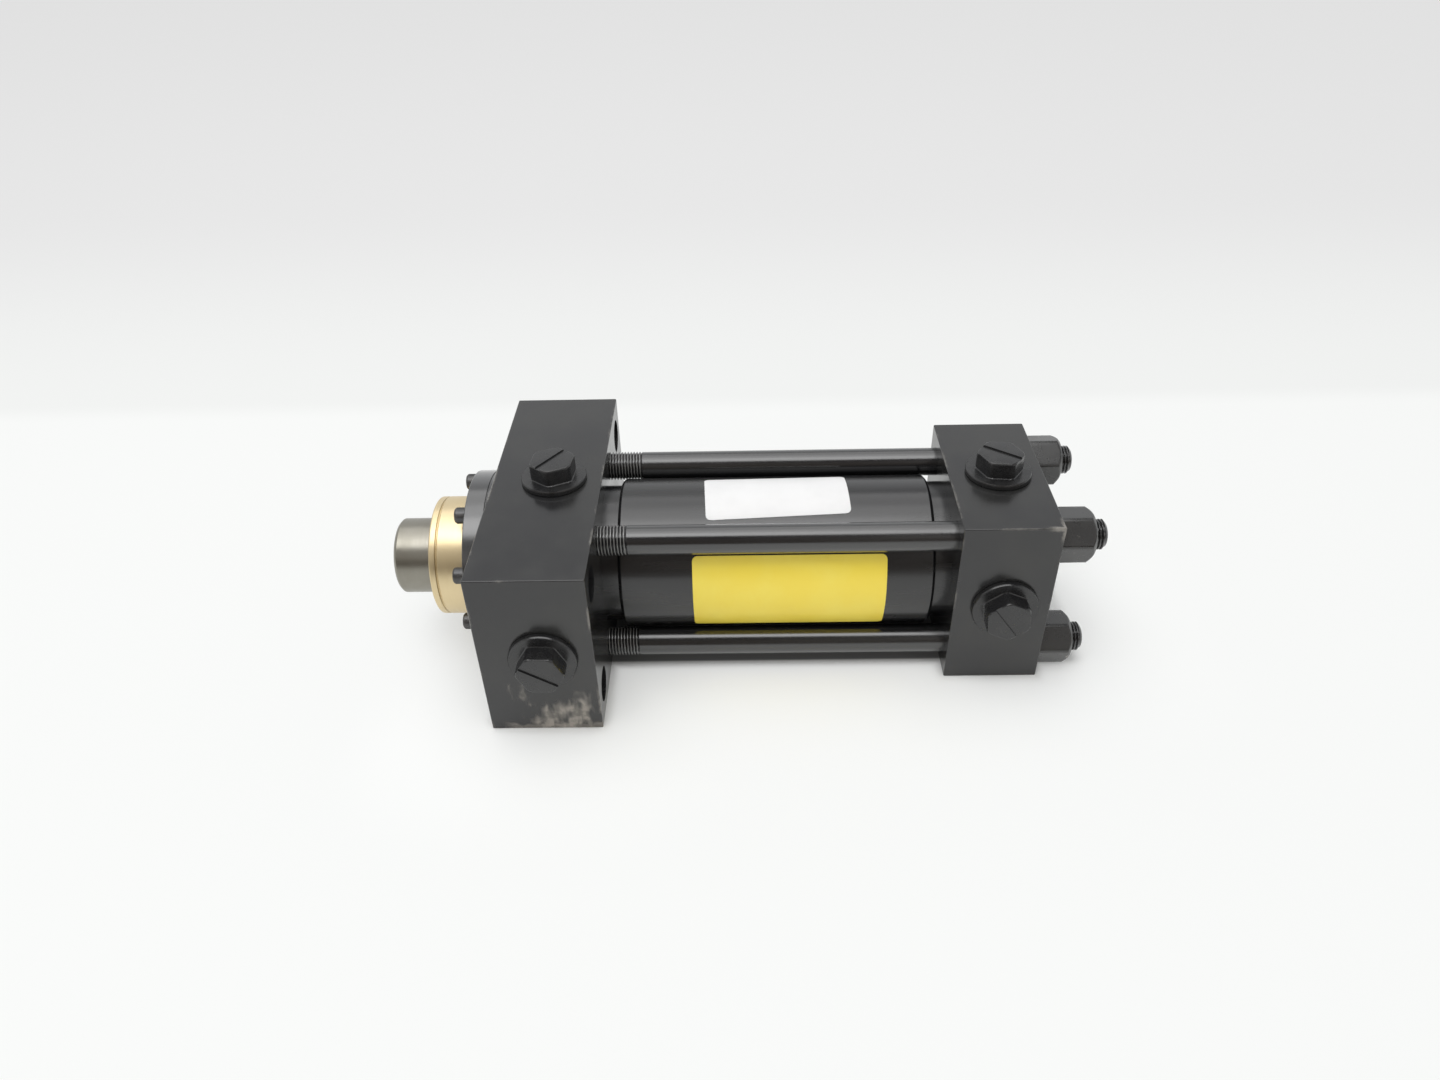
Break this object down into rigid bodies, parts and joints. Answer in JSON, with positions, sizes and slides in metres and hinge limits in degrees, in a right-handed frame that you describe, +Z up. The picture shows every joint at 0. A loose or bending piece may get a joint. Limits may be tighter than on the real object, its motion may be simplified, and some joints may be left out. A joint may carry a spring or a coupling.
{
  "type": "tie-rod cylinder",
  "caption": "Fluid power cylinder: steel end blocks clamped on a tube by tie rods, rectangular head mount with bolt holes, plugged ports and a sliding piston rod.",
  "frame": {"origin": "centre of the head block's underside", "axes": "+X along the cylinder from the rod end towards the cap, +Z up, -Y towards the side ports; the rod is fully drawn in"},
  "size_m": [0.2851, 0.1398, 0.0858],
  "materials": {
    "black_paint": "satin",
    "bronze": "turned",
    "ground_steel": "ground",
    "black_steel": "black oxide",
    "piston_iron": "machined",
    "black_plastic": "moulded",
    "black_rubber": "matte",
    "blue_polymer": "satin"
  },
  "bodies": {
    "barrel": {"head": "black_paint", "cap": "black_paint", "tube": "black_paint", "tie_rod_front_upper": "black_paint", "tie_rod_front_lower": "black_paint", "tie_rod_rear_upper": "black_paint", "tie_rod_rear_lower": "black_paint", "tie_rod_nut_front_upper": "black_paint", "tie_rod_nut_front_lower": "black_paint", "tie_rod_nut_rear_upper": "black_paint", "tie_rod_nut_rear_lower": "black_paint", "gland_retainer": "black_paint", "retainer_screw_1": "black_steel", "retainer_screw_2": "black_steel", "retainer_screw_3": "black_steel", "retainer_screw_4": "black_steel", "retainer_screw_5": "black_steel", "retainer_screw_6": "black_steel", "retainer_screw_7": "black_steel", "retainer_screw_8": "black_steel", "rod_gland": "bronze", "rod_wiper": "blue_polymer", "rod_seal": "blue_polymer", "gland_o_ring": "black_rubber", "head_tube_o_ring": "black_rubber", "cap_tube_o_ring": "black_rubber", "head_top_plug": "black_plastic", "head_front_plug": "black_plastic", "cap_top_plug": "black_plastic", "cap_front_plug": "black_plastic"},
    "piston_rings": {"piston_seal_rod_side": "blue_polymer", "piston_seal_cap_side": "blue_polymer", "piston_wear_ring": "blue_polymer"},
    "rod_assembly": {"piston_rod": "ground_steel", "piston": "piston_iron", "piston_nut": "black_steel", "piston_o_ring": "black_rubber"}
  },
  "joints": [
    {"name": "rod_slide", "type": "slide", "parent": "barrel", "child": "piston_rings", "axis": [-1, 0, 0], "range_m": [0, 0.1016]},
    {"name": "rod_turn", "type": "hinge", "parent": "piston_rings", "child": "rod_assembly", "pos_m": [0, 0, 0.0381], "axis": [-1, 0, 0], "continuous": true}
  ]
}
